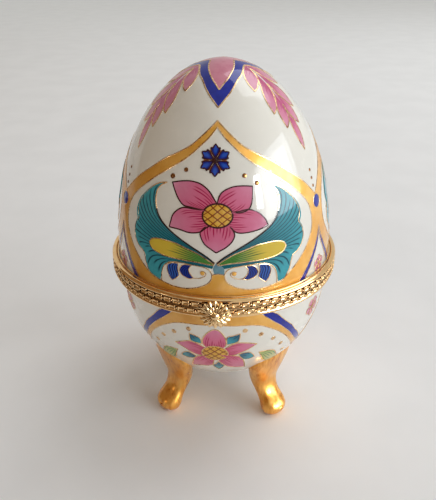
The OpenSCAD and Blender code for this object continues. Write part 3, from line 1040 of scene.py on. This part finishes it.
# %% Flanges
LID_FLANGE = [(33.85, 0.05), (33.85, 3.08), (34.15, 3.1), (34.3, 2.95), (34.38, 2.72), (34.5, 2.95),
              (34.75, 3.1), (35.15, 3.08), (35.55, 2.92), (35.82, 2.68), (35.92, 2.42), (35.85, 2.2),
              (35.6, 2.08), (35.4, 2.0), (35.4, 0.2), (35.7, 0.18), (35.7, 0.05)]
BASE_FLANGE = [(33.85, -0.05), (33.9, -2.95), (34.5, -3.1), (35.1, -3.08), (35.5, -2.9), (35.65, -2.6),
               (35.6, -2.2), (35.4, -2.0), (35.4, -0.2), (35.7, -0.18), (35.7, -0.05)]
LID_LINING = [(33.85, 0.05), (33.85, 0.42), (31.1, 0.42), (31.1, 1.6), (30.98, 1.6), (30.98, 0.05)]
BASE_LINING = [(33.85, -0.05), (33.85, -0.42), (30.4, -0.42), (30.36, 0.7), (30.55, 0.8), (30.72, 0.7),
               (30.75, -0.05)]
for body, flange, lining in (("lid", LID_FLANGE, LID_LINING), ("base", BASE_FLANGE, BASE_LINING)):
    turned = lathe(f"{body}_rim_flange", flange, RIM_BRASS)
    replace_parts(ride(turned, body), f"{body}_rim")
    ride(lathe(f"{body}_rim_lining", lining, RIM_BRASS), body)
    print(turned.name, len(turned.data.polygons), "faces")

# %% Beaded bands
UNITS = 80
BAR_LONG, BAR_DEEP, BAR_TALL = 2.05, 0.8, 1.45
BEAD_R = 0.3
BAR_OUT = 35.52  # from the egg's axis to the middle of a bar
BEAD_OUT = 34.95  # the radius at which the beads share the ring out
PITCH = 2 * math.pi * BEAD_OUT / UNITS


def rim_unit(name, row_z):
    """One bar with a groove along its face and one bead, at the front of the ring."""
    bar = primitive("cube", name, RIM_BRASS, size=1)
    bar.data.transform(Matrix.Diagonal((BAR_LONG * MM, BAR_DEEP * MM, BAR_TALL * MM, 1)))
    with editing():
        bpy.ops.mesh.bevel(offset=0.16 * MM, segments=2, affect="EDGES")
        bpy.ops.mesh.select_all(action="DESELECT")
    for face in bar.data.polygons:
        face.select = face.normal.y < -0.99
    bpy.ops.object.mode_set(mode="EDIT")
    bpy.ops.mesh.inset(thickness=0.2 * MM, depth=-0.22 * MM)
    bpy.ops.object.mode_set(mode="OBJECT")
    bead = primitive("uv_sphere", name + "_bead", RIM_BRASS, segments=10, ring_count=6, radius=BEAD_R * MM)
    bead.data.transform(Matrix.Translation((PITCH / 2 * MM, -0.12 * MM, 0)))
    unit = joined([bar, bead], name)
    unit.data.transform(Matrix.Translation((0, -BAR_OUT * MM, PART_Z + row_z * MM)))
    return smoothed(unit, 50)


for body, row_z, shift in (("lid", 1.1, 0.0), ("base", -1.12, 0.5)):
    unit = rim_unit(f"{body}_beaded_band", row_z)
    unit.data.transform(Matrix.Rotation(shift * 2 * math.pi / UNITS, 4, "Z"))
    band = joined(copy_round(unit, [360 / UNITS * step for step in range(1, UNITS)]), f"{body}_beaded_band")
    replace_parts(ride(band, body), f"{body}_bead_wire")
    print(band.name, len(band.data.polygons), "faces")

# %% [markdown]
# ## The clasp
# A pressed brass flower hangs from the lid's rim on a short springy tongue and snaps over a stud on the
# bowl. Its sixteen rays are one bar, modelled once and turned round the middle, with a thinner ring of
# rays over the first and a polished bead at the heart.

# %% Flower clasp
flower_low, flower_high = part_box("clasp_flower")
bead_low, bead_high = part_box("clasp_bead")
FLOWER_AT = (flower_low + flower_high) / 2
FLOWER_R = (flower_high.x - flower_low.x) / 2
FLOWER_BACK = flower_high.y
RAYS = 16


def ray(name, length, half_width, start, thick):
    """One ray of a flower, pointing up, with a rounded end and a crowned face."""
    piece = primitive("cube", name, CLASP_BRASS, size=1)
    with editing():
        bpy.ops.mesh.subdivide(number_cuts=3)
    for vertex in piece.data.vertices:
        x, y, z = vertex.co
        out = z + 0.5
        rounded = math.sqrt(max(0.12, 1 - max(0.0, out - 0.7) ** 2 * 9))
        width = half_width * (0.42 + 0.58 * out) * rounded
        crown = (0.25 + 0.75 * math.sqrt(1 - (2 * x) ** 2)) * (1 - 0.55 * out**3)
        vertex.co = (2 * x * width, (y - 0.5) * thick * crown if y < 0 else 0.0, start + out * length)
    with editing():
        bpy.ops.mesh.normals_make_consistent(inside=False)
    return piece


def ray_ring(name, length, half_width, start, thick, back, offset):
    """Sixteen copies of one ray, turned about the clasp's middle, with lengths in flower radii."""
    one = ray(name, length * FLOWER_R, half_width * FLOWER_R, start * FLOWER_R, thick * MM)
    rays = copy_round(one, [360 / RAYS * (step + offset) for step in range(1, RAYS)], "Y")
    one.data.transform(Matrix.Rotation(2 * math.pi * offset / RAYS, 4, "Y"))
    ring = joined(rays, name)
    ring.data.transform(Matrix.Translation((FLOWER_AT.x, back, FLOWER_AT.z)))
    return smoothed(ring, 55)


def turned_disc(name, profile):
    """A disc turned about the clasp's own axis, from (radius, forward) pairs in mm."""
    outline = [(radius * MM, -forward * MM, 0.0) for radius, forward in profile]
    piece = spun(name, CLASP_BRASS, outline, (0, 1, 0), steps=48, crease=40)
    piece.data.transform(Matrix.Translation((FLOWER_AT.x, FLOWER_BACK, FLOWER_AT.z)))
    return piece


outer_rays = ray_ring("clasp_outer_rays", 0.66, 0.178, 0.33, 1.0, FLOWER_BACK, 0)
inner_rays = ray_ring("clasp_inner_rays", 0.36, 0.1, 0.27, 0.7, FLOWER_BACK - 0.6 * MM, 0.5)
FLOWER_MM = FLOWER_R / MM
PLATE_R = FLOWER_MM * 0.86
plate = turned_disc("clasp_plate", [(0, 0), (0, 0.3), (PLATE_R, 0.3), (FLOWER_MM * 0.9, 0.15), (PLATE_R, 0)])
bead_r = (bead_high.x - bead_low.x) / 2 / MM * 1.12
quarter = np.linspace(0, math.pi / 2, 9)
dome = [(bead_r * math.cos(turn), 0.62 + bead_r * 0.95 * math.sin(turn)) for turn in quarter]
COLLAR = ((1.35, 0.2), (1.42, 0.55), (1.25, 0.72), (1.08, 0.62))
collar = [(bead_r * wide, forward) for wide, forward in COLLAR]
heart = turned_disc("clasp_heart", [(0, 0.2), *collar, *dome])
clasp_flower = joined([outer_rays, plate, inner_rays], "clasp_rosette")
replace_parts(ride(clasp_flower, "clasp"), "clasp_flower")
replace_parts(ride(heart, "clasp"), "clasp_bead")
print("clasp", round(FLOWER_MM * 2, 1), "mm across")

# %% [markdown]
# ## The feet
# The four feet are slip-cast with the bowl, so a broad arched collar flows up the porcelain and narrows
# to an ankle before the toe turns out. They are covered all over in gold lustre. A foot is grown upwards
# from a circle by extruding ring after ring, smoothed by subdivision, and cut with the bowl's own outline
# so that the collar fits it. It is made once and turned to its four places.

# %% One foot
FOOT_RINGS = [  # height, distance from the egg's axis, half width, half depth, in mm
    (0.0, 25.2, 2.6, 1.6), (0.35, 25.2, 3.5, 2.5), (1.2, 25.2, 4.3, 3.4), (2.6, 25.1, 4.7, 3.9),
    (4.2, 24.6, 4.5, 3.9), (5.7, 23.3, 4.2, 3.6), (7.1, 22.0, 4.1, 3.3), (8.6, 21.1, 4.3, 3.2),
    (10.4, 20.3, 4.8, 3.2), (12.5, 20.1, 5.5, 3.3), (14.8, 20.6, 6.4, 3.5), (17.0, 21.2, 7.3, 3.5),
    (19.2, 21.9, 8.0, 3.3), (21.2, 22.7, 8.3, 3.0), (23.0, 23.5, 7.9, 2.6), (24.4, 24.2, 6.6, 2.0),
    (25.2, 24.6, 4.6, 1.4),
]
SIDES = 28
SQUARENESS = 0.95  # below 1 a ring is a little squarer than an ellipse


def ring_spots(height, out, half_width, half_depth):
    spots = []
    for step in range(SIDES):
        turn = 2 * math.pi * step / SIDES
        x = half_width * math.copysign(abs(math.cos(turn)) ** SQUARENESS, math.cos(turn))
        y = half_depth * math.copysign(abs(math.sin(turn)) ** SQUARENESS, math.sin(turn))
        spots.append(Vector((x * MM, (y - out) * MM, height * MM)))
    return spots


def move_selected(piece, spots):
    bpy.ops.object.mode_set(mode="OBJECT")
    for vertex, spot in zip([vertex for vertex in piece.data.vertices if vertex.select], spots):
        vertex.co = spot
    bpy.ops.object.mode_set(mode="EDIT")


foot = primitive("circle", "foot_gilded", FOOT_GOLD, vertices=SIDES, fill_type="NGON")
with editing():
    move_selected(foot, ring_spots(*FOOT_RINGS[0]))
    for station in FOOT_RINGS[1:]:
        bpy.ops.mesh.extrude_region_move()
        move_selected(foot, ring_spots(*station))
    bpy.ops.mesh.select_all(action="SELECT")
    bpy.ops.mesh.normals_make_consistent(inside=False)
apply_modifier(foot, "SUBSURF", levels=2, render_levels=2)
print("foot grown through", len(FOOT_RINGS), "rings")

# %% Fit the collar to the bowl and hollow the toe
bowl_arcs = bowl.section(0.0, BOWL_H * BOWL_FLAT, 60)
bowl_cutter = lathe("bowl_cutter", [(0.0, 0.0), *bowl_arcs, (0.0, bowl_arcs[-1][1])], FOOT_GOLD)
dimple = primitive("uv_sphere", "toe_dimple", FOOT_GOLD, segments=24, ring_count=12, radius=1)
DIMPLE_AT, DIMPLE_SIZE = Vector((0, -29.4, 3.2)) * MM, Vector((1.4, 1.1, 0.9)) * MM
dimple.data.transform(Matrix.Translation(DIMPLE_AT) @ Matrix.Diagonal((*DIMPLE_SIZE, 1)))
for cutter in (bowl_cutter, dimple):
    apply_modifier(foot, "BOOLEAN", operation="DIFFERENCE", object=cutter, solver="EXACT")
    bpy.data.objects.remove(cutter)
smoothed(foot, 42)
FEET = {"foot_front_right": 45, "foot_rear_right": 135, "foot_rear_left": 225, "foot_front_left": 315}
turned_feet = copy_round(foot, list(FEET.values())[1:])
foot.data.transform(Matrix.Rotation(math.radians(45), 4, "Z"))
for (node, angle), piece in zip(FEET.items(), turned_feet):
    piece.name = node.replace("foot", "gilded_foot")
    piece.data.name = piece.name
    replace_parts(ride(piece, "base"), node)
print("foot", len(foot.data.polygons), "faces")

# %% [markdown]
# ## The parts that stay as they are
# The hinge, the clasp's tongue, its stud and the cement are plain shapes on the real box too, so the CAD
# solids are kept and only get their finish: cast brass that is duller than the rims, and pale cement.

# %% Finishes for the CAD nodes
STAYING = [
    (HINGE_BRASS, ("hinge_lid_leaf", "hinge_lid_knuckle", "hinge_base_leaf", "hinge_knuckle_left",
                   "hinge_knuckle_right", "hinge_pin")),
    (CLASP_BRASS, ("clasp_tongue", "catch_stud")),
    (CEMENT, ("lid_cement", "base_cement")),
]
for finish, nodes in STAYING:
    for node in nodes:
        bpy.data.objects[node].data.materials.clear()
        bpy.data.objects[node].data.materials.append(finish)
    print(finish.name, "on", len(nodes), "nodes")

# %% [markdown]
# ## Floor, room and light
# Glaze and gilding show what is round them, so the room is what makes them look right. A bright wall and
# two narrow window panes stand at the right, a little light comes from a far window at the left and from
# above and behind, and dark boards at the left and in front keep the glaze from looking flat. None of it
# is in the part.

# %% Floor
bpy.context.scene.view_settings.view_transform = "Standard"
paper = Finish("floor_paper", Roughness=0.9)
fibre = paper.noise(30, 3.0).ramp(0.3, 0.7)
paper.set(Base_Color=paper.blend(fibre, (0.85, 0.85, 0.85), (0.88, 0.88, 0.88)))
primitive("plane", "floor", paper.material, size=8)
print("floor laid")


# %% Room and lights
class Room(Finish):
    """The light that comes from everywhere, a little paler overhead."""

    def __init__(self):
        world = bpy.data.worlds.new("room")
        world.use_nodes = True
        bpy.context.scene.world = world
        self.tree = world.node_tree
        self.surface = self.tree.nodes["Background"]


room = Room()
height = room.parts(room.node("ShaderNodeTexCoord", out="Generated"))[2]
EYE_CATCH = Vector((0, 0, 0.06))  # where the boards and windows face
room.set(Color=room.blend(height.ramp(0.0, 0.8), (0.62, 0.60, 0.55), (0.56, 0.56, 0.54)), Strength=1.0)


def dark_card(name, spot, size, shade, aim=EYE_CATCH, shades_light=True):
    """A dark board that the glaze and the brass reflect, but that the camera doesn't see."""
    card = primitive("plane", name, Finish(name, Roughness=1.0, Base_Color=(*shade, 1.0)).material, size=1)
    spot = Vector(spot)
    turn = (Vector(aim) - spot).to_track_quat("Z", "Y").to_matrix().to_4x4()
    card.data.transform(Matrix.Translation(spot) @ turn @ Matrix.Diagonal((*size, 1, 1)))
    card.visible_camera = False
    card.visible_diffuse = card.visible_shadow = shades_light


dark_card("card_left", (-0.72, -0.26, 0.62), (1.9, 1.3), (0.20, 0.10, 0.022))
dark_card("card_low", (-0.17, -0.115, 0.12), (0.5, 0.26), (0.27, 0.165, 0.075), shades_light=False)
dark_card("card_floor", (-0.257, -0.215, 0.06), (0.56, 0.50), (0.14, 0.08, 0.035), (0, 0, 1.5), False)
dark_card("card_front", (-0.05, -1.0, 0.55), (0.5, 0.6), (0.12, 0.045, 0.018))


def window(name, spot, size, power, tint, lights_room=True):
    """A soft light, which may be for reflections only."""
    light = bpy.data.lights.new(name, "AREA")
    light.shape = "RECTANGLE"
    light.size, light.size_y = size
    light.energy = power
    light.color = tint
    holder = bpy.data.objects.new(name, light)
    holder.visible_diffuse = lights_room
    bpy.context.scene.collection.objects.link(holder)
    spot = Vector(spot)
    turn = (EYE_CATCH - spot).to_track_quat("-Z", "Y").to_matrix().to_4x4()
    holder.matrix_world = Matrix.Translation(spot) @ turn


window("bright_wall", (1.35, -0.45, 0.40), (1.3, 0.9), 11.0, (0.90, 0.97, 1.06))
window("wall_sheen", (1.2, -0.55, 0.34), (1.1, 0.7), 8.0, (0.96, 0.98, 1.0), lights_room=False)
window("left_pane", (0.78, -0.86, 0.33), (0.14, 0.36), 4.0, (0.96, 0.99, 1.0), lights_room=False)
window("right_pane", (0.97, -0.62, 0.32), (0.17, 0.30), 4.0, (0.96, 0.99, 1.0), lights_room=False)
window("far_window", (-0.66, -0.52, 0.22), (0.03, 0.12), 0.25, (1.0, 0.95, 0.9))
window("sky_above", (0.5, 0.5, 1.2), (0.8, 0.8), 5, (0.95, 0.97, 1.0))
print("room ready")
